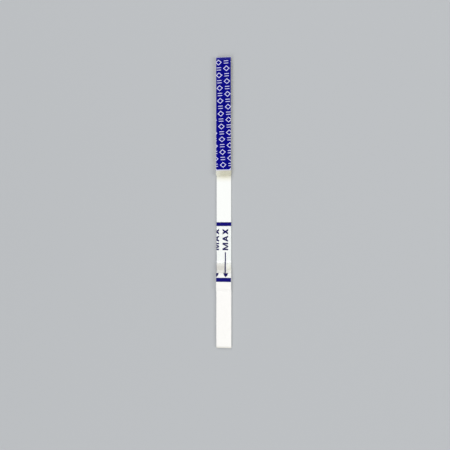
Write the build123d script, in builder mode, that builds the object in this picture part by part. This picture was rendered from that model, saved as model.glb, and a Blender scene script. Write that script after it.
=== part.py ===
from build123d import *
from math import ceil, radians, tan
import os

os.makedirs("parts", exist_ok=True)

# The strip lies face up on its backing card: X across it, Y towards the handle end, Z up.
# Every pad and film is stuck down on what lies under it and bends over its ends.
strip_length = 80.0
strip_width = 4.0
card_thickness = 0.3

# Membrane and pads. The membrane spans from its lap under one pad to its lap under the other.
membrane_thickness = 0.24
conjugate_length = 7.0
conjugate_thickness = 0.36
sample_length = 20.7
sample_thickness = 0.46
absorbent_thickness = 0.86
band_length = 2.7
bare_end_length = 1.8
membrane_lap_share = 0.62

# The blade squeezes a fibrous pad flat at the strip's ends, and its sides spring out past the card.
pinch_length = 0.7
pinch_depth = 0.14
side_swell_share = 0.15
side_round_share = 0.8
cut_round_share = 0.25

# Films and the ink on them. The blade drags a film out a little past the card.
film_overhang = 0.08
handle_length = 30.7
handle_film_thickness = 0.07
limit_length = 16.6
limit_lap = 2.5
limit_film_thickness = 0.05
ink_thickness = 0.02
print_margin = 0.2

# What is laid over an end comes down at this slope, with soft bends.
drape_slope = 27.0
bend_radius = 0.35

# Limit marks: a line across each end of the clear film, and arrows at the pitch of its printing.
line_width = 1.0
line_inset = 0.15
arrow_length = 6.8
arrow_clearance = 0.25
arrow_shaft_width = 0.22
arrow_taper_share = 1.4
arrow_head_length = 1.25
arrow_head_width = 1.15
arrow_notch_share = 0.8
arrow_offset = 0.48
arrow_pitch = 2.51

# Handle motif, left white in the blue field: slanting columns of lozenges and pairs of bars.
motif_slant = 2.6
motif_column_pitch = 2.1
motif_column_offset = -0.74
motif_pitch = 1.76
motif_start = 0.4
lozenge_width = 1.8
lozenge_length = 1.6
bar_length = 1.25
bar_gap = 0.45
motif_line_width = 0.24

# Levels above the table.
card_top = card_thickness
membrane_top = card_top + membrane_thickness
conjugate_low_top = card_top + conjugate_thickness
conjugate_high_top = membrane_top + conjugate_thickness
sample_low_top = card_top + sample_thickness
sample_high_top = conjugate_low_top + sample_thickness
absorbent_low_top = card_top + absorbent_thickness
absorbent_high_top = membrane_top + absorbent_thickness
clear_height = 2 * absorbent_high_top
film_width = strip_width + 2 * film_overhang

# Stations along the strip, from its middle.
handle_end = strip_length / 2
dip_end = -handle_end
sample_end = dip_end + sample_length
conjugate_end = sample_end + band_length
conjugate_start = conjugate_end - conjugate_length
membrane_start = conjugate_end - band_length * membrane_lap_share
handle_start = handle_end - handle_length
handle_middle = handle_end - handle_length / 2
absorbent_start = handle_start - bare_end_length
membrane_end = absorbent_start + bare_end_length * membrane_lap_share
limit_start = sample_end - limit_lap
limit_end = limit_start + limit_length
lower_line = limit_start + line_inset + line_width / 2
upper_line = limit_end - line_inset - line_width / 2
arrow_tip = lower_line + line_width / 2 + arrow_clearance


def slope_run(rise):
    return rise / tan(radians(drape_slope))


def lifted(course, height):
    """The same course higher up, with sharp ends: films and ink are cut square."""
    raised = [(along, level + height, radius) for along, level, radius in course]
    first, last = raised[0], raised[-1]
    return [(*first[:2], 0)] + raised[1:-1] + [(*last[:2], 0)]


def bent_line(course):
    points = [(along, level) for along, level, _ in course]
    return FilletPolyline(*points, radius=[radius for _, _, radius in course[1:-1]])


def side_profile(underside, topside):
    """Face between two courses. The topside's end radii round the corners over its end faces."""
    with BuildLine() as outline:
        bent_line(underside)
        bent_line([underside[0]] + topside + [underside[-1]])
    make_face(outline.edges())


def lay_film(underside, topside, outline):
    """Film or ink between two courses, cut to an outline seen from above."""
    with BuildSketch(Plane.YZ) as side:
        side_profile(underside, topside)
    extrude(side.sketch, amount=film_width / 2, both=True)
    extrude(outline.sketch, amount=clear_height, mode=Mode.INTERSECT)


def cut_round(thickness):
    return cut_round_share * thickness


def lay_pad(underside, topside, thickness):
    """Fibrous pad between two courses. Its cut sides stand round and a little proud of the card."""
    side_swell = side_swell_share * thickness
    with BuildSketch(Plane.YZ) as side:
        side_profile(underside, topside)
    extrude(side.sketch, amount=strip_width / 2 + side_swell, both=True)
    cut_sides = faces().filter_by(Axis.X)
    fillet(cut_sides.edges(), radius=side_swell * side_round_share)


# Side courses: points along the strip, each with its level and the radius of its bend.
conjugate_under = [
    (conjugate_start, card_top, 0),
    (membrane_start - slope_run(membrane_thickness), card_top, bend_radius),
    (membrane_start, membrane_top, 0),
    (conjugate_end, membrane_top, 0),
]
conjugate_over = [
    (conjugate_start, conjugate_low_top, 0),
    (membrane_start - slope_run(membrane_thickness), conjugate_low_top, bend_radius),
    (membrane_start, conjugate_high_top, bend_radius),
    (conjugate_end, conjugate_high_top, cut_round(conjugate_thickness)),
]
sample_under = [
    (dip_end, card_top, 0),
    (conjugate_start - slope_run(conjugate_thickness), card_top, bend_radius),
    (conjugate_start, conjugate_low_top, 0),
    (sample_end, conjugate_low_top, 0),
]
sample_over = [
    (dip_end, sample_low_top - pinch_depth, 0),
    (dip_end + pinch_length, sample_low_top, bend_radius),
    (conjugate_start - slope_run(conjugate_thickness), sample_low_top, bend_radius),
    (conjugate_start, sample_high_top, bend_radius),
    (sample_end, sample_high_top, cut_round(sample_thickness)),
]
absorbent_under = [
    (absorbent_start, membrane_top, 0),
    (membrane_end, membrane_top, 0),
    (membrane_end + slope_run(membrane_thickness), card_top, bend_radius),
    (handle_end, card_top, 0),
]
absorbent_over = [
    (absorbent_start, absorbent_high_top, cut_round(absorbent_thickness)),
    (membrane_end, absorbent_high_top, bend_radius),
    (membrane_end + slope_run(membrane_thickness), absorbent_low_top, bend_radius),
    (handle_end - pinch_length, absorbent_low_top, bend_radius),
    (handle_end, absorbent_low_top - pinch_depth, 0),
]
limit_under = sample_over + [
    (membrane_start, conjugate_high_top, bend_radius),
    (conjugate_end, conjugate_high_top, cut_round(conjugate_thickness)),
    (conjugate_end + slope_run(conjugate_thickness), membrane_top, bend_radius),
    (absorbent_start, membrane_top, 0),
]
limit_over = lifted(limit_under, limit_film_thickness)
handle_over = lifted(absorbent_over, handle_film_thickness)

with BuildPart() as backing_card:
    with BuildSketch():
        Rectangle(strip_width, strip_length)
    extrude(amount=card_thickness)

with BuildPart() as membrane:
    with BuildSketch(Plane.XY.offset(card_top)):
        with Locations((0, (membrane_start + membrane_end) / 2)):
            Rectangle(strip_width, membrane_end - membrane_start)
    extrude(amount=membrane_thickness)

with BuildPart() as conjugate_pad:
    lay_pad(conjugate_under, conjugate_over, conjugate_thickness)

with BuildPart() as sample_pad:
    lay_pad(sample_under, sample_over, sample_thickness)

with BuildPart() as absorbent_pad:
    lay_pad(absorbent_under, absorbent_over, absorbent_thickness)

with BuildSketch() as handle_outline:
    with Locations((0, handle_middle)):
        Rectangle(film_width, handle_length)

with BuildPart() as handle_tape:
    lay_film(absorbent_over, handle_over, handle_outline)

with BuildSketch() as limit_outline:
    with Locations((0, (limit_start + limit_end) / 2)):
        Rectangle(film_width, limit_length)

with BuildPart() as limit_tape:
    lay_film(limit_under, limit_over, limit_outline)

with BuildSketch() as lines_outline:
    with Locations((0, lower_line), (0, upper_line)):
        Rectangle(film_width, line_width)

with BuildPart() as limit_lines:
    lay_film(limit_over, lifted(limit_over, ink_thickness), lines_outline)

# One arrow, its tip at the origin: a barbed head, and a shaft a little heavier towards it.
with BuildSketch() as arrow:
    with BuildLine():
        Polyline(
            (0, 0),
            (arrow_head_width / 2, arrow_head_length),
            (arrow_shaft_width * arrow_taper_share / 2, arrow_head_length * arrow_notch_share),
            (arrow_shaft_width / 2, arrow_length),
            (0, arrow_length),
        )
        mirror(about=Plane.YZ)
    make_face()

# The printing repeats across the sheet that strips are cut from, so the blade halves the second arrow.
with BuildSketch() as arrows_outline:
    with Locations((arrow_offset, arrow_tip), (arrow_offset - arrow_pitch, arrow_tip)):
        add(arrow.sketch)

with BuildPart() as limit_arrows:
    lay_film(limit_over, lifted(limit_over, ink_thickness), arrows_outline)

with BuildSketch() as lozenge:
    with BuildLine():
        Polyline(
            (lozenge_width / 2, 0),
            (0, lozenge_length / 2),
            (-lozenge_width / 2, 0),
            (0, -lozenge_length / 2),
            close=True,
        )
    make_face()
    offset(amount=-motif_line_width, kind=Kind.INTERSECTION, mode=Mode.SUBTRACT)

with BuildSketch() as bars:
    with GridLocations(0, motif_line_width + bar_gap, 1, 2):
        Rectangle(bar_length, motif_line_width)

# Lozenges and bars take turns along each column and from one column to the next.
motif_columns = ceil(film_width / motif_column_pitch)
motif_rows = ceil(handle_length / motif_pitch / 2) + 1
with BuildSketch(Plane((0, handle_middle + motif_start, 0)).rotated((0, 0, motif_slant))) as motif:
    for column in range(-motif_columns, motif_columns + 1):
        for row in range(-motif_rows, motif_rows + 1):
            with Locations((motif_column_offset + column * motif_column_pitch, row * motif_pitch)):
                add(bars.sketch if (column + row) % 2 else lozenge.sketch)

# The blue field stops short of the film's lower end, and the motif is left out of it.
with BuildSketch() as print_outline:
    with Locations((0, handle_middle + print_margin / 2)):
        Rectangle(film_width, handle_length - print_margin)

with BuildPart() as handle_print:
    lay_film(handle_over, lifted(handle_over, ink_thickness), print_outline)
    extrude(motif.sketch, amount=clear_height, mode=Mode.SUBTRACT)

pieces = {
    "backing_card": backing_card,
    "membrane": membrane,
    "conjugate_pad": conjugate_pad,
    "sample_pad": sample_pad,
    "absorbent_pad": absorbent_pad,
    "handle_tape": handle_tape,
    "limit_tape": limit_tape,
    "limit_lines": limit_lines,
    "limit_arrows": limit_arrows,
    "handle_print": handle_print,
}
for name, piece in pieces.items():
    piece.part.label = name
    export_step(piece.part, f"parts/{name}.step")
    print(name, round(piece.part.volume, 3))
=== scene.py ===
import math
import random

import bmesh
import bpy
from mathutils import Matrix, Vector, noise
from mathutils.bvhtree import BVHTree
from mathutils.geometry import delaunay_2d_cdt


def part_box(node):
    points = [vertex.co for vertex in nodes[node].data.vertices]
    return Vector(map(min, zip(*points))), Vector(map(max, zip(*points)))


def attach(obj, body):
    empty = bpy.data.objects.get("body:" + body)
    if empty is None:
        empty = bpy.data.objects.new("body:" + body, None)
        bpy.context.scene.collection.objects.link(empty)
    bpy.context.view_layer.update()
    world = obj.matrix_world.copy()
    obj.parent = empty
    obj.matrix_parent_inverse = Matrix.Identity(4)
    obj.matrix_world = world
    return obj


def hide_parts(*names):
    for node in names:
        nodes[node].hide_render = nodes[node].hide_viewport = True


mm = 0.001
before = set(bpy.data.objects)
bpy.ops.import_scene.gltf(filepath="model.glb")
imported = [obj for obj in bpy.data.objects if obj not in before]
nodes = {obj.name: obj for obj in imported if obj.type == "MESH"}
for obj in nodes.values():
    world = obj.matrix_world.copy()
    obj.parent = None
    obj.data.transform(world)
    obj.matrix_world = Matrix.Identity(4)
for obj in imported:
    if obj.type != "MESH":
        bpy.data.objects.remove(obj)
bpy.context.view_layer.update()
scene = bpy.context.scene
scene.view_settings.view_transform = "Standard"
print("frame loaded:", len(nodes), "nodes")

# Camera. In the photograph the strip stands a little left of the middle and above it.
photoCamera = {
    "lens": 50,
    "sensor": 36,
    "widthTaken": 123.9,  # mm that the picture's width takes in at the strip's face
    "pictureMiddle": (0.33, -6.1, 0.6),  # mm, the point that is in the middle of the picture
    "turn": 9,  # degrees that the camera stands off towards the strip's right side
    "clip": (0.05, 100),  # nearest and furthest that it sees, in its distances from the strip
}


def placeCamera(settings):
    data = bpy.data.cameras.new("photoCamera")
    data.lens = settings["lens"]
    data.sensor_width = settings["sensor"]
    camera = bpy.data.objects.new("photoCamera", data)
    scene.collection.objects.link(camera)
    turn = math.radians(settings["turn"])
    distance = settings["widthTaken"] * settings["lens"] / settings["sensor"] * mm
    away = Vector((math.sin(turn), 0, math.cos(turn)))
    camera.location = Vector(settings["pictureMiddle"]) * mm + away * distance
    right = Vector((math.cos(turn), 0, -math.sin(turn)))
    camera.rotation_euler = Matrix((right, away.cross(right), away)).transposed().to_euler()
    data.clip_start, data.clip_end = (distance * share for share in settings["clip"])
    scene.camera = camera


placeCamera(photoCamera)
print("camera placed")


# Node helpers, for shader trees and geometry trees alike.
def plug(tree, socket, value):
    if isinstance(value, bpy.types.NodeSocket):
        tree.links.new(value, socket)
    elif socket.type == "RGBA":
        socket.default_value = (*value, 1)
    elif socket.type == "VECTOR" and isinstance(value, (int, float)):
        socket.default_value = (value, value, value)
    else:
        socket.default_value = value


def addNode(tree, kind, inputs=None, **settings):
    node = tree.nodes.new(kind)
    for name, value in settings.items():
        setattr(node, name, value)
    for name, value in (inputs or {}).items():
        plug(tree, node.inputs[name], value)
    return node


# The first output of a new node.
def outOf(tree, kind, inputs=None, **settings):
    return addNode(tree, kind, inputs, **settings).outputs[0]


def calc(tree, operation, *values):
    return outOf(tree, "ShaderNodeMath", dict(enumerate(values)), operation=operation)


def times(tree, first, second):
    return calc(tree, "MULTIPLY", first, second)


def calcVector(tree, operation, *values):
    return outOf(tree, "ShaderNodeVectorMath", dict(enumerate(values)), operation=operation)


def scaled(tree, vector, factor):
    return outOf(tree, "ShaderNodeVectorMath", {0: vector, "Scale": factor}, operation="SCALE")


def partsOf(tree, vector):
    return addNode(tree, "ShaderNodeSeparateXYZ", {0: vector}).outputs


def fromParts(tree, x=0.0, y=0.0, z=0.0):
    return outOf(tree, "ShaderNodeCombineXYZ", {0: x, 1: y, 2: z})


# Goes smoothly from low, at start and before it, to high, at end and past it.
def ramp(tree, value, start, end, low=0.0, high=1.0):
    rising = start < end
    limits = (start, end, low, high) if rising else (end, start, high, low)
    names = ("From Min", "From Max", "To Min", "To Max")
    inputs = {"Value": value, **dict(zip(names, limits))}
    return outOf(tree, "ShaderNodeMapRange", inputs, interpolation_type="SMOOTHSTEP")


def blendColours(tree, share, first, second):
    return addNode(tree, "ShaderNodeMix", {0: share, 6: first, 7: second}, data_type="RGBA").outputs[2]


def noiseAt(tree, point, scale, detail=2.0, roughness=0.5):
    inputs = {"Vector": point, "Scale": scale, "Detail": detail, "Roughness": roughness}
    return outOf(tree, "ShaderNodeTexNoise", inputs)


# The noise scale at which a grain or a ridge is about as wide as asked.
def scaleFor(tree, width):
    return calc(tree, "DIVIDE", 0.5, width)


# A push of up to half a unit each way, which changes smoothly from place to place.
def swayAt(tree, point, scale, detail):
    inputs = {"Vector": point, "Scale": scale, "Detail": detail}
    field = addNode(tree, "ShaderNodeTexNoise", inputs).outputs[1]
    return calcVector(tree, "SUBTRACT", field, (0.5, 0.5, 0.5))


# A colour as it is seen, 0 to 255, as Blender's linear values.
def paint(red, green, blue):
    seen = [value / 255 for value in (red, green, blue)]
    return tuple(v / 12.92 if v < 0.04045 else ((v + 0.055) / 1.055) ** 2.4 for v in seen)


# A group of nodes. Its inputs are given by their first values, or by a socket type where they have none.
def newGroup(name, kind, inputs, outputs):
    tree = bpy.data.node_groups.new(name, kind)
    numberTypes = {float: "NodeSocketFloat", int: "NodeSocketInt"}
    for label, given in inputs.items():
        socketType = numberTypes.get(type(given), given)
        socket = tree.interface.new_socket(name=label, in_out="INPUT", socket_type=socketType)
        if socketType != given:
            socket.default_value = given
    for label, socketType in outputs.items():
        tree.interface.new_socket(name=label, in_out="OUTPUT", socket_type=socketType)
    return tree, tree.nodes.new("NodeGroupInput").outputs, tree.nodes.new("NodeGroupOutput").inputs


# Effects that several finishes share. Points are in millimetres.
# Fibre mat: fine bent ridges that cross every way in the sheet, with clouds where it is thicker.
fibreLayers = {
    "turns": (12, 71, 133),  # degrees in the sheet, one for each layer of fibres
    "ridge": 0.16,  # share of the noise's range, to each side of its middle, that is fibre
    "swaysPerMm": 1.1,
    "cloudsPerMm": 1.4,
}


def buildFibreMat(look):
    inputs = {"Point": "NodeSocketVector", "Fibre Width": 0.05, "Fibre Length": 12.0, "Bend": 0.9}
    outputs = {"Fibres": "NodeSocketFloat", "Clouds": "NodeSocketFloat"}
    tree, given, made = newGroup("fibreMat", "ShaderNodeTree", inputs, outputs)
    scale = scaleFor(tree, given["Fibre Width"])
    sway = swayAt(tree, given["Point"], look["swaysPerMm"], 1.0)
    bent = calcVector(tree, "ADD", given["Point"], scaled(tree, sway, given["Bend"]))
    squeeze = fromParts(tree, calc(tree, "DIVIDE", 1.0, given["Fibre Length"]), 1.0, 1.0)
    crossed = None
    for turn in look["turns"]:
        inputs = {"Vector": bent, "Angle": math.radians(turn)}
        turned = outOf(tree, "ShaderNodeVectorRotate", inputs, rotation_type="Z_AXIS")
        field = noiseAt(tree, calcVector(tree, "MULTIPLY", turned, squeeze), scale, 1.0)
        fromMiddle = calc(tree, "ABSOLUTE", calc(tree, "SUBTRACT", times(tree, field, 2.0), 1.0))
        layer = ramp(tree, fromMiddle, look["ridge"], 0.0)
        crossed = layer if crossed is None else calc(tree, "MAXIMUM", crossed, layer)
    plug(tree, made["Fibres"], crossed)
    plug(tree, made["Clouds"], noiseAt(tree, given["Point"], look["cloudsPerMm"], 3.0))
    return tree


# Even fine grain, as on a moulded or cast skin.
def buildFineGrain():
    inputs = {"Point": "NodeSocketVector", "Grain": 0.08}
    outputs = {"Height": "NodeSocketFloat", "Mottle": "NodeSocketFloat"}
    tree, given, made = newGroup("fineGrain", "ShaderNodeTree", inputs, outputs)
    mottlesPerMm = 0.7
    plug(tree, made["Height"], noiseAt(tree, given["Point"], scaleFor(tree, given["Grain"]), 3.0, 0.6))
    plug(tree, made["Mottle"], noiseAt(tree, given["Point"], mottlesPerMm, 2.0))
    return tree


# Fine lines along the strip, where the blade went through it, and only on its cut sides.
def buildBladeMarks():
    inputs = {"Point": "NodeSocketVector", "Normal": "NodeSocketVector", "Spacing": 0.03}
    tree, given, made = newGroup("bladeMarks", "ShaderNodeTree", inputs, {"Marks": "NodeSocketFloat"})
    sideways = calc(tree, "ABSOLUTE", partsOf(tree, given["Normal"])["X"])
    onSide = ramp(tree, sideways, 0.6, 0.9)
    drawn = calcVector(tree, "MULTIPLY", given["Point"], (1.0, 0.04, 1.0))  # 25 times as long as wide
    lines = noiseAt(tree, drawn, scaleFor(tree, given["Spacing"]), 2.0)
    plug(tree, made["Marks"], times(tree, lines, onSide))
    return tree


# Skin of a stuck-down film: the pad shows faintly through it, with a few fine scuffs along the strip.
filmWear = {
    "dimplesPerMm": 3.2,
    "scuffsPerMm": 5.0,
    "scuffSqueeze": (1.0, 0.08, 1.0),  # a scuff is a dozen times as long as wide
    "scuffWidth": 0.02,  # share of the noise's range, to each side of its middle
    "patchesPerMm": 0.35,
    "patchEdge": (0.5, 0.62),  # where in that noise the scuffs begin, and where they are all there
}


def buildFilmSkin(look):
    inputs = {"Point": "NodeSocketVector"}
    outputs = {"Height": "NodeSocketFloat", "Scuffs": "NodeSocketFloat"}
    tree, given, made = newGroup("filmSkin", "ShaderNodeTree", inputs, outputs)
    plug(tree, made["Height"], noiseAt(tree, given["Point"], look["dimplesPerMm"], 2.0, 0.4))
    drawn = calcVector(tree, "MULTIPLY", given["Point"], look["scuffSqueeze"])
    field = noiseAt(tree, drawn, look["scuffsPerMm"], 1.0)
    fromMiddle = calc(tree, "ABSOLUTE", calc(tree, "SUBTRACT", field, 0.5))
    patches = ramp(tree, noiseAt(tree, given["Point"], look["patchesPerMm"], 1.0), *look["patchEdge"])
    plug(tree, made["Scuffs"], times(tree, ramp(tree, fromMiddle, look["scuffWidth"], 0.0), patches))
    return tree


fibreMat = buildFibreMat(fibreLayers)
fineGrain = buildFineGrain()
bladeMarks = buildBladeMarks()
filmSkin = buildFilmSkin(filmWear)


# A material with its Principled node, the point in millimetres and that point's three parts.
def newFinish(name, plain):
    material = bpy.data.materials.new(name)
    material.use_nodes = True
    tree = material.node_tree
    shader = tree.nodes["Principled BSDF"]
    for label, value in plain.items():
        plug(tree, shader.inputs[label], value)
    point = scaled(tree, addNode(tree, "ShaderNodeTexCoord").outputs["Object"], 1 / mm)
    return material, tree, shader, point, partsOf(tree, point)


def useGroup(tree, group, inputs):
    return addNode(tree, "ShaderNodeGroup", inputs, node_tree=group).outputs


def bumpBy(tree, shader, height, depth):
    bump = outOf(tree, "ShaderNodeBump", {"Height": height, "Distance": depth * mm})
    plug(tree, shader.inputs["Normal"], bump)


cardPlastic = {
    "plastic": paint(240, 240, 237),
    "adhesive": paint(228, 224, 207),
    "adhesiveFrom": (0.26, 0.27),  # mm above the table: the last of the card's edge is glue
    "mottle": 0.04,  # how much darker its dull spots are
    "grain": 0.15,
    "markSpacing": 0.035,
    "markDepth": 0.006,
    "roughness": (0.36, 0.5),  # at its smoothest and at its dullest
}


def finishCard(look):
    material, tree, shader, point, part = newFinish("cardPlastic", {"IOR": 1.55})
    normal = addNode(tree, "ShaderNodeNewGeometry").outputs["Normal"]
    grain = useGroup(tree, fineGrain, {"Point": point, "Grain": look["grain"]})
    inputs = {"Point": point, "Normal": normal, "Spacing": look["markSpacing"]}
    marks = useGroup(tree, bladeMarks, inputs)["Marks"]
    onEdge = ramp(tree, calc(tree, "ABSOLUTE", partsOf(tree, normal)["Z"]), 0.5, 0.2)
    glued = ramp(tree, part["Z"], *look["adhesiveFrom"])
    shade = ramp(tree, grain["Mottle"], 0.2, 0.8, 1 - look["mottle"], 1.0)
    plastic = scaled(tree, look["plastic"], shade)
    colour = blendColours(tree, times(tree, glued, onEdge), plastic, look["adhesive"])
    plug(tree, shader.inputs["Base Color"], colour)
    dullness = calc(tree, "ADD", marks, times(tree, grain["Mottle"], 0.4))
    plug(tree, shader.inputs["Roughness"], ramp(tree, dullness, 0.1, 0.9, *look["roughness"]))
    height = calc(tree, "ADD", marks, times(tree, grain["Height"], 0.3))
    bumpBy(tree, shader, height, look["markDepth"])
    return material


membraneSkin = {
    "face": paint(253, 255, 252),
    # painted shade on the membrane below the thick pad's cut end, tinted warm like light thrown back from
    # the pad
    "paintedPadShade": paint(240, 238, 222),
    "paintedPadShadeFrom": (5.4, 7.25),  # mm along the strip: painted shade, warm-tinted, that deepens towards the thick pad's end
    "backing": paint(214, 220, 226),
    "backingTop": (0.41, 0.39),  # mm above the table: the film that carries the membrane ends there
    "roughness": (0.92, 0.3),  # of the membrane, and of that film
    "grain": 0.06,
    "grainShade": 0.025,  # painted shade: how much darker the hollows of the grain are
    "grainDepth": 0.004,
}


def finishMembrane(look):
    material, tree, shader, point, part = newFinish("membraneSkin", {"IOR": 1.45})
    grain = useGroup(tree, fineGrain, {"Point": point, "Grain": look["grain"]})
    uneven = ramp(tree, grain["Mottle"], 0.2, 0.7, 0.7, 1.0)
    # painted shade towards the thick pad's end, broken up by the mottle
    share = times(tree, ramp(tree, part["Y"], *look["paintedPadShadeFrom"]), uneven)
    paper = blendColours(tree, share, look["face"], look["paintedPadShade"])
    # painted shade in the grain's hollows
    paper = scaled(tree, paper, ramp(tree, grain["Height"], 0.3, 0.7, 1 - look["grainShade"], 1.0))
    onBacking = ramp(tree, part["Z"], *look["backingTop"])
    plug(tree, shader.inputs["Base Color"], blendColours(tree, onBacking, paper, look["backing"]))
    plug(tree, shader.inputs["Roughness"], ramp(tree, onBacking, 0.0, 1.0, *look["roughness"]))
    bumpBy(tree, shader, grain["Height"], look["grainDepth"])
    return material


samplePaper = {
    "leftTone": paint(253, 252, 248),
    "rightTone": paint(254, 253, 249),
    "toneChange": (-2.0, 2.0),  # mm across the strip
    "fibreTone": paint(255, 254, 252),
    "fibreShow": 0.6,
    "fibreWidth": 0.05,
    "fibreLength": 14,
    "fibreDepth": 0.006,
    "mottle": 0.015,
    "stainsAndShade": [
        # painted shade along the dip end's cut edge, which slopes away from the light
        {
            "starts": (-39.35, -39.85),
            "ends": (-60, -50),  # beyond the dip end, so that the painted shade goes up to it
            "across": (-9, -8),  # all the way across
            "strength": 0.8,
            "tone": paint(226, 224, 214),
        },
    ],
}
conjugateFelt = {
    "leftTone": paint(250, 249, 244),
    "rightTone": paint(252, 251, 245),
    "toneChange": (-1.4, 1.4),
    "fibreTone": paint(252, 251, 247),
    "fibreShow": 0.3,
    "fibreWidth": 0.04,
    "fibreLength": 20,
    "fibreDepth": 0.006,
    "mottle": 0.04,
    "stainsAndShade": [
        {
            "starts": (-16.4, -17.7),
            "ends": (-19.3, -18.2),
            "across": (1.2, 0.2),
            "strength": 0.85,
            "tone": paint(218, 213, 205),
        },
        {
            "starts": (-16.6, -18.2),
            "ends": (-19.3, -18.2),
            "across": (0.6, 1.4),
            "strength": 0.7,
            "tone": paint(236, 232, 217),
        },
    ],
}
absorbentPaper = {
    # painted highlight: the pad is drawn lighter towards its left edge, where its rounded cut edge catches
    # the light
    "leftTone": paint(233, 233, 221),
    "rightTone": paint(207, 205, 183),
    "toneChange": (-2.0, -0.3),
    "fibreTone": paint(220, 218, 202),
    "fibreShow": 0.45,
    "fibreWidth": 0.07,
    "fibreLength": 10,
    "fibreDepth": 0.012,
    "mottle": 0.08,
}


# Fibrous pad: its fibres are a little lighter than its body, which has two tones across the strip. On the
# absorbent pad the lighter left tone is a painted highlight along its left edge.
# Each darkening has its edges in mm along the strip and across it, from none of it to all of it. On the
# conjugate pad these are the pad's own stain, and at the sample pad's dip end it is painted shade.
def finishPad(name, look):
    plain = {"Roughness": 0.95, "IOR": 1.35, "Sheen Weight": 0.05}
    material, tree, shader, point, part = newFinish(name, plain)
    sizes = {"Fibre Width": look["fibreWidth"], "Fibre Length": look["fibreLength"]}
    mat = useGroup(tree, fibreMat, {"Point": point, **sizes})
    # across the strip; on the absorbent pad this lays a painted highlight along its left edge
    across = ramp(tree, part["X"], *look["toneChange"])
    body = blendColours(tree, across, look["leftTone"], look["rightTone"])
    body = scaled(tree, body, ramp(tree, mat["Clouds"], 0.3, 0.7, 1 - look["mottle"], 1.0))
    colour = blendColours(tree, times(tree, mat["Fibres"], look["fibreShow"]), body, look["fibreTone"])
    for darkening in look.get("stainsAndShade", []):
        along = times(tree, ramp(tree, part["Y"], *darkening["starts"]), ramp(tree, part["Y"], *darkening["ends"]))
        share = times(tree, along, ramp(tree, part["X"], *darkening["across"]))
        colour = blendColours(tree, times(tree, share, darkening["strength"]), colour, darkening["tone"])
    plug(tree, shader.inputs["Base Color"], colour)
    bumpBy(tree, shader, mat["Fibres"], look["fibreDepth"])
    return material


# Gives a finish the skin of a stuck-down film: rougher where it is scuffed, and dimpled.
def wearFilm(tree, shader, point, look):
    skin = useGroup(tree, filmSkin, {"Point": point})
    rough = ramp(tree, skin["Scuffs"], 0.0, 1.0, look["roughness"], look["scuffedRoughness"])
    plug(tree, shader.inputs["Roughness"], rough)
    bumpBy(tree, shader, skin["Height"], look["dimpleDepth"])


whiteFilmSkin = {
    "film": paint(222, 221, 255),
    "roughness": 0.2,
    "scuffedRoughness": 0.36,
    "dimpleDepth": 0.008,
}


def finishWhiteFilm(look):
    plain = {"Base Color": look["film"], "IOR": 1.5}
    material, tree, shader, point, part = newFinish("whiteFilm", plain)
    wearFilm(tree, shader, point, look)
    return material


handleBlue = {
    "thin": paint(6, 4, 138),
    "full": paint(2, 1, 120),
    "mottleSize": 0.25,
    "gloss": 0.06,
    "roughness": 0.2,
    "scuffedRoughness": 0.36,
    "dimpleDepth": 0.008,
}
lineBlue = {
    "thin": paint(14, 9, 118),
    "full": paint(6, 3, 104),
    "mottleSize": 0.2,
    "gloss": 0.12,
    "roughness": 0.3,
    "scuffedRoughness": 0.4,
    "dimpleDepth": 0.004,
}
markBlue = {**lineBlue, "thin": paint(26, 16, 96), "full": paint(14, 6, 78)}


# Printed ink: nearly even, with the faint mottle of ink on film.
def finishInk(name, look):
    material, tree, shader, point, part = newFinish(name, {"Specular IOR Level": look["gloss"]})
    grain = useGroup(tree, fineGrain, {"Point": point, "Grain": look["mottleSize"]})
    share = ramp(tree, grain["Height"], 0.35, 0.65)
    plug(tree, shader.inputs["Base Color"], blendColours(tree, share, look["thin"], look["full"]))
    wearFilm(tree, shader, point, look)
    return material


# Clear film: it veils what is under it a little, and more on its cut edges and where it is seen at a slant.
# The veil thins the reflection as well, so the film's own reflection is set stronger by as much.
clearFilmSkin = {
    "film": paint(244, 252, 252),
    "veil": 0.1,
    "slantVeil": 0.9,
    "edgeVeil": 0.35,
    "realIndex": 1.5,
    "strongerIndex": 3.2,
    "roughness": 0.1,
    "dimpleDepth": 0.007,
}


def finishClearFilm(look):
    plain = {"Base Color": look["film"], "IOR": look["strongerIndex"], "Roughness": look["roughness"]}
    material, tree, shader, point, part = newFinish("clearFilm", plain)
    mirrored = outOf(tree, "ShaderNodeFresnel", {"IOR": look["realIndex"]})
    veil = calc(tree, "ADD", times(tree, mirrored, look["slantVeil"]), look["veil"])
    geometry = addNode(tree, "ShaderNodeNewGeometry").outputs
    upright = calc(tree, "ABSOLUTE", partsOf(tree, geometry["Normal"])["Z"])
    veil = calc(tree, "ADD", veil, ramp(tree, upright, 0.5, 0.2, 0.0, look["edgeVeil"]))
    facing = calc(tree, "SUBTRACT", 1.0, geometry["Backfacing"])
    plug(tree, shader.inputs["Alpha"], times(tree, veil, facing))
    bumpBy(tree, shader, useGroup(tree, filmSkin, {"Point": point})["Height"], look["dimpleDepth"])
    return material


finishes = {
    "card": finishCard(cardPlastic),
    "membrane": finishMembrane(membraneSkin),
    "sample": finishPad("samplePaper", samplePaper),
    "conjugate": finishPad("conjugateFelt", conjugateFelt),
    "absorbent": finishPad("absorbentPaper", absorbentPaper),
    "whiteFilm": finishWhiteFilm(whiteFilmSkin),
    "clearFilm": finishClearFilm(clearFilmSkin),
    "handleInk": finishInk("handleInk", handleBlue),
    "lineInk": finishInk("lineInk", lineBlue),
    "markInk": finishInk("markInk", markBlue),
}
print("finishes made:", len(finishes))


def dress(nodeName, finishName):
    for materialSlot in nodes[nodeName].material_slots:
        materialSlot.material = finishes[finishName]


dress("backing_card", "card")
dress("membrane", "membrane")
print("CAD pieces dressed")


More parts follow.
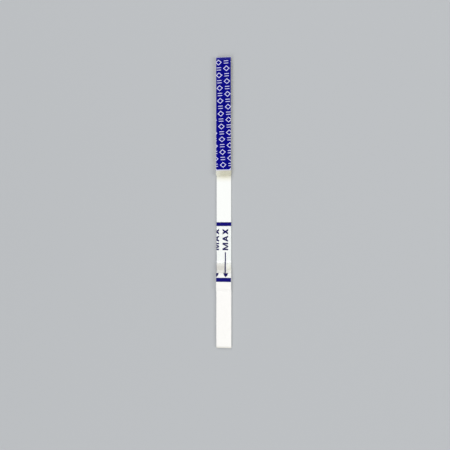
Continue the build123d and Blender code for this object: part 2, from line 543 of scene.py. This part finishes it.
# Fibrous pads. A geometry tree roughens the pad's skin and lays loose fibres on it.
# It works in millimetres. What counts as face, cut or underside goes by the upward part of the normal.
padSkin = {
    "underUpward": (-0.8, -0.4),  # the underside stays flat
    "faceUpward": (0.6, 0.9),  # pressed nearly flat from here on, and ragged below
    "layersPerMm": 2.6,
    "layerStretch": (1.0, 0.25, 2.5),  # the sheet's layers are long and thin where it was cut
    "lieUpward": 0.8,  # fibres lie where the skin looks up by more than this
    "cutUpward": 0.25,  # it was cut where it looks up or down by less than this
    "cutSideways": 0.9,  # and lengthwise where it also looks to a side by more than this
    "lengths": (0.6, 1.3),  # of lying fibres, as shares of the length that the pad asks for
    "cutSlant": 0.12,  # most that a fibre along a cut side rises or falls
    "endSlants": (0.5, 0.6, 0.3),  # most that a cut end leans across, along and up
    "swaysPerMm": 1.6,  # how often a loose fibre bends
    "swayParts": (1.0, 1.0, 0.16),
    "settleReach": 0.3,  # mm above or below itself in which a lying fibre finds the skin
    "tipShare": 0.35,  # of its radius, left at a fibre's tips
}
# Loose fibres: each curve's pieces and bend, and its section's sides, flatness and share of the radius.
looseFibres = {
    "lying": {"pieces": 9, "bend": 1.0, "sides": 5, "flatness": 0.45, "radius": 1.0},
    "alongCut": {"pieces": 6, "bend": 0.6, "sides": 4, "flatness": 1.0, "radius": 0.8},
    "standing": {"pieces": 2, "bend": 0.0, "sides": 3, "flatness": 1.0, "radius": 0.7},
}


def buildPadTree(look):
    inputs = {
        "Pad": "NodeSocketGeometry",
        "Face Depth": 0.012,
        "Cut Depth": 0.04,
        "Side Swell": 0.0,
        "Grain": 0.2,
        "Fibres Per Area": 14.0,
        "Fibre Length": 1.0,
        "Fibre Radius": 0.013,
        "Fibre Bend": 0.12,
        "Ends Per Area": 30.0,
        "End Length": 0.08,
        "Bare To": 50.0,
        "Trim Low": "NodeSocketVector",
        "Trim High": "NodeSocketVector",
        "Seed": 1,
        "Finish": "NodeSocketMaterial",
    }
    tree, given, made = newGroup("fibrousPad", "GeometryNodeTree", inputs, {"Pad": "NodeSocketGeometry"})
    position = outOf(tree, "GeometryNodeInputPosition")
    normal = outOf(tree, "GeometryNodeInputNormal")
    facing = partsOf(tree, normal)
    place = partsOf(tree, position)

    # Skin: its hollows only go inwards, and its cut sides may swell.
    fine = noiseAt(tree, position, scaleFor(tree, given["Grain"]), 3.0, 0.65)
    stretched = calcVector(tree, "MULTIPLY", position, look["layerStretch"])
    layered = noiseAt(tree, stretched, look["layersPerMm"], 2.0)
    faceHollow = times(tree, fine, given["Face Depth"])
    cutHollow = times(tree, times(tree, fine, calc(tree, "ADD", layered, 0.5)), given["Cut Depth"])
    inputs = {0: ramp(tree, facing["Z"], *look["faceUpward"]), 2: cutHollow, 3: faceHollow}
    hollow = outOf(tree, "ShaderNodeMix", inputs, data_type="FLOAT")
    notUnder = ramp(tree, facing["Z"], *look["underUpward"])
    inwards = times(tree, times(tree, hollow, notUnder), -1.0)
    swell = fromParts(tree, times(tree, facing["X"], given["Side Swell"]))
    offset = calcVector(tree, "ADD", scaled(tree, normal, inwards), swell)
    inputs = {"Geometry": given["Pad"], "Offset": offset}
    skin = outOf(tree, "GeometryNodeSetPosition", inputs)

    def randomBetween(low, high, seedStep):
        inputs = {2: low, 3: high, "Seed": calc(tree, "ADD", given["Seed"], float(seedStep))}
        return addNode(tree, "FunctionNodeRandomValue", inputs, data_type="FLOAT").outputs[1]

    def scatter(selection, perArea, seedStep):
        density = times(tree, perArea, selection)
        seed = calc(tree, "ADD", given["Seed"], float(seedStep))
        inputs = {"Mesh": skin, "Density": density, "Seed": seed}
        return addNode(tree, "GeometryNodeDistributePointsOnFaces", inputs).outputs

    # Moves the curves' points straight down, or up, onto the skin.
    def settle(curves):
        reach = look["settleReach"]
        above = calcVector(tree, "ADD", position, (0.0, 0.0, reach))
        inputs = {"Target Geometry": skin, "Source Position": above, "Ray Direction": (0.0, 0.0, -1.0)}
        down = addNode(tree, "GeometryNodeRaycast", {**inputs, "Ray Length": 2 * reach}).outputs
        inputs = {"Geometry": curves, "Selection": down["Is Hit"], "Position": down["Hit Position"]}
        return outOf(tree, "GeometryNodeSetPosition", inputs)

    # Cuts curves off where they leave the pad's box, and takes out what has no length left.
    def trim(curves):
        short = calcVector(tree, "SUBTRACT", given["Trim Low"], position)
        long = calcVector(tree, "SUBTRACT", position, given["Trim High"])
        past = partsOf(tree, calcVector(tree, "MAXIMUM", short, long))
        furthest = calc(tree, "MAXIMUM", calc(tree, "MAXIMUM", past["X"], past["Y"]), past["Z"])
        inputs = {"Geometry": curves, "Selection": calc(tree, "GREATER_THAN", furthest, 0.0)}
        trimmed = outOf(tree, "GeometryNodeDeleteGeometry", inputs, domain="POINT")
        left = addNode(tree, "GeometryNodeSplineLength").outputs["Point Count"]
        inputs = {"Geometry": trimmed, "Selection": calc(tree, "LESS_THAN", left, 1.5)}
        return outOf(tree, "GeometryNodeDeleteGeometry", inputs, domain="CURVE")

    # Curves through the points, bent by a noise.
    def layCurves(points, direction, length, fibre):
        line = outOf(tree, "GeometryNodeCurvePrimitiveLine", {"Start": (-0.5, 0, 0), "End": (0.5, 0, 0)})
        even = outOf(tree, "GeometryNodeResampleCurve", {"Curve": line, "Count": fibre["pieces"] + 1})
        turn = outOf(tree, "FunctionNodeAlignRotationToVector", {"Vector": direction}, axis="X")
        inputs = {"Points": points, "Instance": even, "Rotation": turn, "Scale": length}
        curves = outOf(tree, "GeometryNodeInstanceOnPoints", inputs)
        loose = outOf(tree, "GeometryNodeRealizeInstances", {0: curves})
        sway = swayAt(tree, position, look["swaysPerMm"], 1.5)
        sway = calcVector(tree, "MULTIPLY", sway, look["swayParts"])
        bend = times(tree, given["Fibre Bend"], fibre["bend"])
        inputs = {"Geometry": loose, "Offset": scaled(tree, sway, bend)}
        return outOf(tree, "GeometryNodeSetPosition", inputs)

    # Gives curves their body, thinner towards both ends. Flat fibres lie like ribbons.
    def thicken(curves, fibre):
        radius = times(tree, given["Fibre Radius"], fibre["radius"])
        upright = outOf(tree, "GeometryNodeSetCurveNormal", {"Curve": curves}, mode="Z_UP")
        inputs = {"Resolution": fibre["sides"], "Radius": radius}
        ring = outOf(tree, "GeometryNodeCurvePrimitiveCircle", inputs)
        inputs = {"Geometry": ring, "Scale": (1.0, fibre["flatness"], 1.0)}
        section = outOf(tree, "GeometryNodeTransform", inputs)
        along = addNode(tree, "GeometryNodeSplineParameter").outputs["Factor"]
        fromMiddle = calc(tree, "ABSOLUTE", calc(tree, "SUBTRACT", times(tree, along, 2.0), 1.0))
        thinning = ramp(tree, fromMiddle, 1.0, 0.5, look["tipShare"], 1.0)
        inputs = {"Curve": upright, "Profile Curve": section, "Scale": thinning, "Fill Caps": True}
        body = outOf(tree, "GeometryNodeCurveToMesh", inputs)
        inputs = {"Geometry": body, "Shade Smooth": fibre["flatness"] == 1}
        return outOf(tree, "GeometryNodeSetShadeSmooth", inputs)

    # Fibres that lie every way on the bare face.
    bareFace = calc(tree, "LESS_THAN", place["Y"], given["Bare To"])
    upwards = calc(tree, "GREATER_THAN", facing["Z"], look["lieUpward"])
    points = scatter(times(tree, bareFace, upwards), given["Fibres Per Area"], 1)["Points"]
    angle = randomBetween(0.0, 2 * math.pi, 11)
    anyWay = fromParts(tree, calc(tree, "COSINE", angle), calc(tree, "SINE", angle))
    length = times(tree, given["Fibre Length"], randomBetween(*look["lengths"], 17))
    lying = layCurves(points, anyWay, length, looseFibres["lying"])
    lying = thicken(trim(settle(lying)), looseFibres["lying"])

    # Fibres along the cut sides, in the sheet's own direction.
    cutFace = calc(tree, "LESS_THAN", calc(tree, "ABSOLUTE", facing["Z"]), look["cutUpward"])
    sideways = calc(tree, "GREATER_THAN", calc(tree, "ABSOLUTE", facing["X"]), look["cutSideways"])
    points = scatter(times(tree, cutFace, sideways), given["Fibres Per Area"], 2)["Points"]
    slant = look["cutSlant"]
    lengthwise = fromParts(tree, y=1.0, z=randomBetween(-slant, slant, 13))
    alongCut = layCurves(points, lengthwise, given["Fibre Length"], looseFibres["alongCut"])
    alongCut = thicken(trim(alongCut), looseFibres["alongCut"])

    # Cut fibre ends that stand out of the cut faces.
    cut = scatter(cutFace, given["Ends Per Area"], 3)
    inputs = {"Geometry": cut["Points"], "Name": "outward", "Value": cut["Normal"]}
    points = outOf(tree, "GeometryNodeStoreNamedAttribute", inputs, data_type="FLOAT_VECTOR")
    outward = outOf(tree, "GeometryNodeInputNamedAttribute", {"Name": "outward"}, data_type="FLOAT_VECTOR")
    slants = [randomBetween(-most, most, 14 + index) for index, most in enumerate(look["endSlants"])]
    direction = calcVector(tree, "ADD", outward, fromParts(tree, *slants))
    length = times(tree, given["End Length"], 2.0)
    standing = layCurves(points, direction, length, looseFibres["standing"])
    standing = thicken(trim(standing), looseFibres["standing"])

    joined = addNode(tree, "GeometryNodeJoinGeometry")
    smoothSkin = outOf(tree, "GeometryNodeSetShadeSmooth", {"Geometry": skin})
    for part in (standing, alongCut, lying, smoothSkin):
        tree.links.new(part, joined.inputs[0])
    real = outOf(tree, "GeometryNodeRealizeInstances", {0: joined.outputs[0]})
    inputs = {"Geometry": real, "Material": given["Finish"]}
    plug(tree, made["Pad"], outOf(tree, "GeometryNodeSetMaterial", inputs))
    return tree


# Sets a geometry tree's inputs by their sockets' identifiers.
def setInputs(modifier, values):
    for item in modifier.node_group.interface.items_tree:
        if item.in_out == "INPUT" and item.name in values:
            modifier[item.identifier] = values[item.name]


def keepPiece(mesh, name):
    mesh.name = name
    piece = bpy.data.objects.new(name, mesh)
    scene.collection.objects.link(piece)
    return piece


def addPiece(piece, slotName, *replaced):
    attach(piece, "root")
    if replaced:
        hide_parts(*replaced)
    piece.data.calc_loop_triangles()
    print(piece.name, "made:", len(piece.data.loop_triangles), "triangles")


padTree = buildPadTree(padSkin)
padBlank = {
    "weld": 1e-4,  # mm: the CAD mesh's loose triangles are joined first
    "cell": 0.085,  # mm, of the even mesh that takes the skin
    "fuzz": (0.06, 0.06, 0.02),  # mm that a fibre may stand out of the pad's box
}


def makePad(nodeName, look):
    mesh = nodes[nodeName].data.copy()
    mesh.transform(Matrix.Scale(1 / mm, 4))
    shape = bmesh.new()
    shape.from_mesh(mesh)
    bmesh.ops.remove_doubles(shape, verts=shape.verts, dist=padBlank["weld"])
    shape.to_mesh(mesh)
    shape.free()
    temporary = bpy.data.objects.new("padBlank", mesh)
    scene.collection.objects.link(temporary)
    remesh = temporary.modifiers.new("evenMesh", "REMESH")
    remesh.mode = "VOXEL"
    remesh.voxel_size = padBlank["cell"]
    skin = temporary.modifiers.new("fibrousPad", "NODES")
    skin.node_group = padTree
    low, high = (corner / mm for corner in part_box(nodeName))
    fuzz = Vector(padBlank["fuzz"])
    trims = {"Trim Low": (low - fuzz)[:], "Trim High": (high + fuzz)[:]}
    setInputs(skin, {**look["tree"], **trims, "Finish": finishes[look["finish"]]})
    evaluated = temporary.evaluated_get(bpy.context.evaluated_depsgraph_get())
    made = bpy.data.meshes.new_from_object(evaluated)
    bpy.data.objects.remove(temporary)
    made.transform(Matrix.Scale(mm, 4))
    addPiece(keepPiece(made, look["name"]), look["slot"], nodeName)


# Fibres lie on the face up to Bare To, in mm along the strip from its middle, and past it a film is stuck.
fibrousPads = {
    "absorbent_pad": {
        "name": "absorbent_paper",
        "slot": "absorbent_pad",
        "finish": "absorbent",
        "tree": {
            "Face Depth": 0.02,
            "Cut Depth": 0.07,
            "Grain": 0.22,
            "Fibres Per Area": 15.0,
            "Fibre Length": 1.4,
            "Fibre Radius": 0.01,
            "Fibre Bend": 0.7,
            "Ends Per Area": 16.0,
            "End Length": 0.07,
            "Bare To": 8.45,
            "Seed": 3,
        },
    },
    "sample_pad": {
        "name": "sample_paper",
        "slot": "sample_pad",
        "finish": "sample",
        "tree": {
            "Face Depth": 0.012,
            "Cut Depth": 0.05,
            "Side Swell": 0.05,
            "Grain": 0.16,
            "Fibres Per Area": 11.0,
            "Fibre Length": 1.3,
            "Fibre Radius": 0.01,
            "Fibre Bend": 0.6,
            "Ends Per Area": 16.0,
            "End Length": 0.06,
            "Bare To": -19.4,
            "Seed": 8,
        },
    },
    "conjugate_pad": {
        "name": "conjugate_felt",
        "slot": "conjugate_pad",
        "finish": "conjugate",
        "tree": {
            "Face Depth": 0.014,
            "Cut Depth": 0.04,
            "Grain": 0.14,
            "Fibres Per Area": 12.0,
            "Fibre Length": 0.7,
            "Fibre Radius": 0.009,
            "Fibre Bend": 0.2,
            "Ends Per Area": 20.0,
            "End Length": 0.05,
            "Bare To": -50.0,
            "Seed": 21,
        },
    },
}
for nodeName, look in fibrousPads.items():
    makePad(nodeName, look)


# Films and print take their heights from what they lie on, by rays cast straight down in millimetres.
rays = {"from": 10, "insideEnd": 1e-4}  # mm above the table, and mm that a ray keeps inside a film's end


def castTree(mesh):
    corners = [vertex.co / mm for vertex in mesh.vertices]
    return BVHTree.FromPolygons(corners, [face.vertices[:] for face in mesh.polygons])


def heightAt(tree, x, y):
    hit = tree.ray_cast(Vector((x, y, rays["from"])), Vector((0, 0, -1)))[0]
    return hit.z if hit else 0


# A thin closed sheet: its faces as seen from above, the same faces below, and a wall along each outer edge.
def makeSheet(name, places, faces, topsides, undersides, finishName):
    count = len(places)
    corners = [(*place, z) for heights in (topsides, undersides) for place, z in zip(places, heights)]
    sides = {(face[corner - 1], face[corner]) for face in faces for corner in range(len(face))}
    rim = sorted(side for side in sides if side[::-1] not in sides)
    walls = [(first + count, second + count, second, first) for first, second in rim]
    below = [tuple(corner + count for corner in reversed(face)) for face in faces]
    mesh = bpy.data.meshes.new(name)
    mesh.from_pydata([Vector(corner) * mm for corner in corners], [], [*faces, *below, *walls])
    mesh.materials.append(finishes[finishName])
    mesh.set_sharp_from_angle(angle=math.radians(40))  # bends stay smooth, and cut edges sharp
    return keepPiece(mesh, name)


# Films. Each follows its CAD solid a hair above what it is stuck to, rippled a little by the pad below,
# with cut sides that wander and, where it comes down a step, trapped air pockets.
films = {
    "handle": {
        "name": "handle_film",
        "node": "handle_tape",
        "slot": "white_film",
        "finish": "whiteFilm",
        "stuckOn": "absorbent_pad",
        "thickness": 0.07,
        "lowEnd": 8.9,  # mm along the strip, on the slope where the pad comes off the membrane
        "cell": 0.12,
        "clearance": 0.004,  # mm above what it is stuck to
        "ripple": (0.01, 1.3),  # mm high and mm long
        "sideWander": (0.01, 0.8),
        "pockets": 0,
        "seed": 2,
    },
    "limit": {
        "name": "clear_film",
        "node": "limit_tape",
        "slot": "clear_film",
        "finish": "clearFilm",
        "stuckOn": "sample_pad",
        "thickness": 0.05,
        "lowEnd": -21.8,
        "cell": 0.1,
        "clearance": 0.004,
        "ripple": (0.006, 1.6),
        "sideWander": (0.01, 0.8),
        "pockets": 22,
        "pocketRadius": (0.12, 0.3),
        "pocketHeight": (0.004, 0.012),
        "pocketsAlong": (-19.3, -16.0),  # mm along the strip: the two steps that the film comes down
        "seed": 5,
    },
}


def makeFilm(look):
    solid = castTree(nodes[look["node"]].data)
    under = castTree(nodes[look["stuckOn"]].data)
    low, high = (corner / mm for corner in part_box(look["node"]))
    low.y = look["lowEnd"]
    draw = random.Random(look["seed"])
    pockets = []
    for _ in range(look["pockets"]):
        centre = (draw.uniform(low.x, high.x), draw.uniform(*look["pocketsAlong"]))
        pockets.append((*centre, draw.uniform(*look["pocketRadius"]), draw.uniform(*look["pocketHeight"])))

    def lift(x, y):
        height, size = look["ripple"]
        total = height * (0.5 + 0.5 * noise.noise(Vector((x, y, look["seed"])) / size))
        for pocketX, pocketY, radius, top in pockets:
            away = math.hypot(x - pocketX, y - pocketY) / radius
            total += top * (1 - away * away) ** 2 if away < 1 else 0
        return total

    columns = round((high.x - low.x) / look["cell"])
    rows = round((high.y - low.y) / look["cell"])
    places = []
    topsides = []
    for row in range(rows + 1):
        y = low.y + (high.y - low.y) * row / rows
        inside = min(y, high.y - rays["insideEnd"])
        level = max(heightAt(solid, 0, inside), heightAt(under, 0, inside) + look["thickness"])
        for column in range(columns + 1):
            x = low.x + (high.x - low.x) * column / columns
            if column in (0, columns):
                wander, size = look["sideWander"]
                x += wander * noise.noise(Vector((column, y / size, look["seed"])))
            places.append((x, y))
            topsides.append(level + lift(x, y))
    faces = []
    for row in range(rows):
        for column in range(columns):
            near = row * (columns + 1) + column
            far = near + columns + 1
            faces.append((near, near + 1, far + 1, far))
    undersides = [top - look["thickness"] + look["clearance"] for top in topsides]
    film = makeSheet(look["name"], places, faces, topsides, undersides, look["finish"])
    addPiece(film, look["slot"], look["node"])
    return castTree(film.data), low, high, look["cell"]


laidFilms = {name: makeFilm(look) for name, look in films.items()}

# Print. Outlines are flat, seen from above in mm, and are cut along the film's own rows to bend with it.
ink = {
    "thickness": 0.01,
    "gap": 0.002,  # mm above the film
    "rim": 0.015,  # mm of bare film along its two sides
    "columnCells": 3,  # the cuts along the strip are this many of the film's cells apart
    "overrun": 1,  # mm that the cuts run past the film
    "closest": 1e-6,  # mm: corners nearer than this become one
}


def rectangle(left, near, right, far):
    return [(left, near), (right, near), (right, far), (left, far)]


def anticlockwise(outline):
    area = sum(a[0] * b[1] - a[1] * b[0] for a, b in zip(outline, outline[1:] + outline[:1]))
    return outline if area > 0 else outline[::-1]


def printOn(filmName, name, finishName, shapes, cutOuts=()):
    tree, low, high, cell = laidFilms[filmName]
    field = rectangle(low.x + ink["rim"], low.y, high.x - ink["rim"], high.y)
    outlines = [anticlockwise(outline) for outline in (field, *shapes, *cutOuts)]
    points = [Vector(corner) for outline in outlines for corner in outline]
    starts = [sum(map(len, outlines[:index])) for index in range(len(outlines))]
    loops = [list(range(start, start + len(outline))) for start, outline in zip(starts, outlines)]
    lines = []
    past = ink["overrun"]
    rows = round((high.y - low.y) / cell)
    for row in range(rows + 1):
        y = low.y + (high.y - low.y) * row / rows
        lines.append(((low.x - past, y), (high.x + past, y)))
    apart = cell * ink["columnCells"]
    for column in range(round((high.x - low.x) / apart)):
        x = low.x + apart * column
        lines.append(((x, low.y - past), (x, high.y + past)))
    edges = [(len(points) + 2 * index, len(points) + 2 * index + 1) for index in range(len(lines))]
    points += [Vector(end) for line in lines for end in line]
    places, _, triangles, _, _, owners = delaunay_2d_cdt(points, edges, loops, 0, ink["closest"])
    # Each triangle's owners: 0 is the field, then come the shapes, and the cut-outs are last.
    firstCutOut = 1 + len(shapes)
    inked = []
    for triangle, owner in zip(triangles, owners):
        if 0 in owner and 0 < max(owner) < firstCutOut:
            inked.append(triangle)
    used = sorted({corner for triangle in inked for corner in triangle})
    renumbered = {corner: index for index, corner in enumerate(used)}
    faces = [tuple(renumbered[corner] for corner in triangle) for triangle in inked]
    spots = [(places[corner].x, places[corner].y) for corner in used]
    furthest = high.y - rays["insideEnd"]
    undersides = [heightAt(tree, x, min(y, furthest)) + ink["gap"] for x, y in spots]
    topsides = [level + ink["thickness"] for level in undersides]
    return makeSheet(name, spots, faces, topsides, undersides, finishName)


# Limit lines: one across each end of the clear film. Each has its inset from that end and its width, in mm.
limitLines = {"lower": (0.08, 1.11), "upper": (0.15, 1.04)}


def lineOutlines(look):
    _, low, high, _ = laidFilms["limit"]
    inset, width = look["lower"]
    lower = rectangle(low.x, low.y + inset, high.x, low.y + inset + width)
    inset, width = look["upper"]
    return [lower, rectangle(low.x, high.y - inset - width, high.x, high.y - inset)]


addPiece(printOn("limit", "limit_bars", "lineInk", lineOutlines(limitLines)), "limit_ink", "limit_lines")

# Limit arrow: a barbed head that points at the lower line, and a shaft a little heavier towards it,
# which stands a touch left of the head's middle.
limitArrow = {
    "tip": (0.6, -20.42),  # mm right of the strip's middle, and along it
    "length": 6.8,
    "headWidth": 1.3,
    "headLength": 1.16,
    "shoulderWidth": 0.92,
    "shoulderShare": 0.42,  # share of the head's length from its tip to its shoulders
    "notchShare": 0.9,  # and to the notch where the shaft comes in
    "shaftWidth": 0.26,
    "shaftShift": -0.16,
    "taperShare": 1.3,  # the shaft's width at the notch, in its widths at the far end
    "repeats": (0, -2.6),  # mm across to the arrow itself and to its repeat
}


def arrowOutline(look, shift):
    x, y = look["tip"]
    moved = look["shaftShift"]
    halves = [
        (look["shoulderWidth"] / 2, 0, look["headLength"] * look["shoulderShare"]),
        (look["headWidth"] / 2, 0, look["headLength"]),
        (look["shaftWidth"] * look["taperShare"] / 2, moved, look["headLength"] * look["notchShare"]),
        (look["shaftWidth"] / 2, moved, look["length"]),
    ]
    right = [(middle + half, along) for half, middle, along in halves]
    left = [(middle - half, along) for half, middle, along in reversed(halves)]
    return [(x + shift + across, y + along) for across, along in [(0, 0), *right, *left]]


# Limit lettering. It reads up the strip, and the blade cut off its repeat at the film's left side.
# A stroke runs from its place at the letter's foot to its place at the cap, with its width, in mm.
limitWord = {
    "letters": [
        {
            "width": 1.98,
            "strokes": [(0.19, 0.19, 0.38), (1.0, 0.26, 0.36), (1.0, 1.74, 0.36), (1.81, 1.81, 0.38)],
        },
        {"width": 1.62, "strokes": [(0.2, 0.81, 0.41), (1.42, 0.81, 0.41)], "bar": (0.4, 0.34, 1.22, 0.62)},
        {"width": 1.54, "strokes": [(0.25, 1.29, 0.52), (1.29, 0.25, 0.52)]},
    ],
    "capHeight": 1.54,
    "gap": 0.35,  # between letters
    "feetAt": 1.2,  # mm right of the strip's middle
    "startsAt": -13.02,  # mm along the strip from its middle
    "repeats": (0, -2.53),
}


def wordOutlines(look, shift):
    outlines = []
    start = look["startsAt"]
    cap = look["capHeight"]
    feet = look["feetAt"] + shift
    for letter in look["letters"]:
        upright = [rectangle(*letter["bar"])] if "bar" in letter else []
        for foot, top, width in letter["strokes"]:
            half = width / 2
            upright.append([(foot - half, 0), (foot + half, 0), (top + half, cap), (top - half, cap)])
        outlines += [[(feet - up, start + along) for along, up in outline] for outline in upright]
        start += letter["width"] + look["gap"]
    return outlines


marks = [arrowOutline(limitArrow, shift) for shift in limitArrow["repeats"]]
marks += [outline for shift in limitWord["repeats"] for outline in wordOutlines(limitWord, shift)]
addPiece(printOn("limit", "limit_marks", "markInk", marks), "limit_ink", "limit_arrows")

# Handle print: a blue field with the CAD model's motif left out of it, in a finer line.
handlePrint = {
    "lowEnd": 9.09,  # mm along the strip: a little of the film is bare below it
    "topRim": 0.05,  # mm of bare film at the strip's end
    "leftRim": 0.035,  # mm of bare film along its left side
    "slant": 2.6,  # degrees
    "columnPitch": 2.1,
    "columnOffset": -0.74,
    "pitch": 1.76,
    "middle": 24.5,  # mm along the strip, where the motif's rows are counted from
    "lozenge": (1.8, 1.6),  # mm across and along
    "barLength": 1.25,
    "barGap": 0.45,
    "lineWidth": 0.18,
    "columns": 2,  # to each side of the middle one
    "rows": (-9, 8),  # none above, so that a plain blue band is left at the strip's end
}


def motifOutlines(look):
    wide, tall = (size / 2 for size in look["lozenge"])
    line = look["lineWidth"]
    inside = 1 - line * math.hypot(wide, tall) / wide / tall
    outer = [(wide, 0), (0, tall), (-wide, 0), (0, -tall)]
    inner = [(x * inside, y * inside) for x, y in outer]
    lozenge = [[outer[i - 1], outer[i], inner[i], inner[i - 1]] for i in range(len(outer))]
    half, apart = look["barLength"] / 2, (line + look["barGap"]) / 2
    bars = [rectangle(-half, y - line / 2, half, y + line / 2) for y in (-apart, apart)]
    turn = math.radians(look["slant"])
    outlines = []
    for column in range(-look["columns"], look["columns"] + 1):
        for row in range(look["rows"][0], look["rows"][1] + 1):
            for shape in bars if (column + row) % 2 else lozenge:
                outline = []
                for x, y in shape:
                    x += look["columnOffset"] + column * look["columnPitch"]
                    y += row * look["pitch"]
                    across = x * math.cos(turn) - y * math.sin(turn)
                    outline.append((across, look["middle"] + x * math.sin(turn) + y * math.cos(turn)))
                outlines.append(outline)
    return outlines


def printHandle(look):
    _, low, high, _ = laidFilms["handle"]
    left = low.x + look["leftRim"]
    field = rectangle(left, look["lowEnd"], high.x, high.y - look["topRim"])
    return printOn("handle", "handle_field", "handleInk", [field], motifOutlines(look))


addPiece(printHandle(handlePrint), "handle_ink", "handle_print")

# Table and light.
studio = {
    "tableReach": 0.5,  # metres from its middle to each side
    "tableRoughness": 0.7,
    "table": paint(186, 189, 192),
    "backdrop": paint(190, 193, 196),
    "surroundLight": 0.41,
}
# Lamps: metres from the strip's middle and across, and watts.
lamps = {
    "overHandle": {"at": (-0.08, 0.4, 0.5), "across": 0.36, "power": 1.38},
    "fromRight": {"at": (0.45, -0.1, 0.42), "across": 0.35, "power": 1.03},
    "fromDipEnd": {"at": (-0.2, -0.42, 0.5), "across": 0.4, "power": 1.27},
}


def setStudio(settings):
    reach = settings["tableReach"]
    mesh = bpy.data.meshes.new("table")
    corners = [(x, y, 0) for x, y in rectangle(-reach, -reach, reach, reach)]
    mesh.from_pydata(corners, [], [(0, 1, 2, 3)])
    plain = {"Base Color": settings["table"], "Roughness": settings["tableRoughness"]}
    mesh.materials.append(newFinish("tableTop", plain)[0])
    table = bpy.data.objects.new("table", mesh)
    scene.collection.objects.link(table)
    world = bpy.data.worlds.new("surround")
    scene.world = world
    world.use_nodes = True
    tree = world.node_tree
    # The backdrop's colour is seen directly, in reflections and through the film, and lights nothing else.
    ray = addNode(tree, "ShaderNodeLightPath").outputs
    seen = calc(tree, "MAXIMUM", ray["Is Camera Ray"], ray["Is Glossy Ray"])
    seen = calc(tree, "MAXIMUM", seen, ray["Is Transmission Ray"])
    white = (settings["surroundLight"],) * 3
    colour = blendColours(tree, seen, white, settings["backdrop"])
    plug(tree, tree.nodes["Background"].inputs["Color"], colour)


def hangLamps(settings):
    for name, lamp in settings.items():
        data = bpy.data.lights.new(name, "AREA")
        data.shape = "DISK"
        data.size = lamp["across"]
        data.energy = lamp["power"]
        light = bpy.data.objects.new(name, data)
        light.location = lamp["at"]
        light.rotation_euler = (-light.location).to_track_quat("-Z", "Y").to_euler()
        scene.collection.objects.link(light)


setStudio(studio)
hangLamps(lamps)
print("studio set")

bpy.context.view_layer.update()
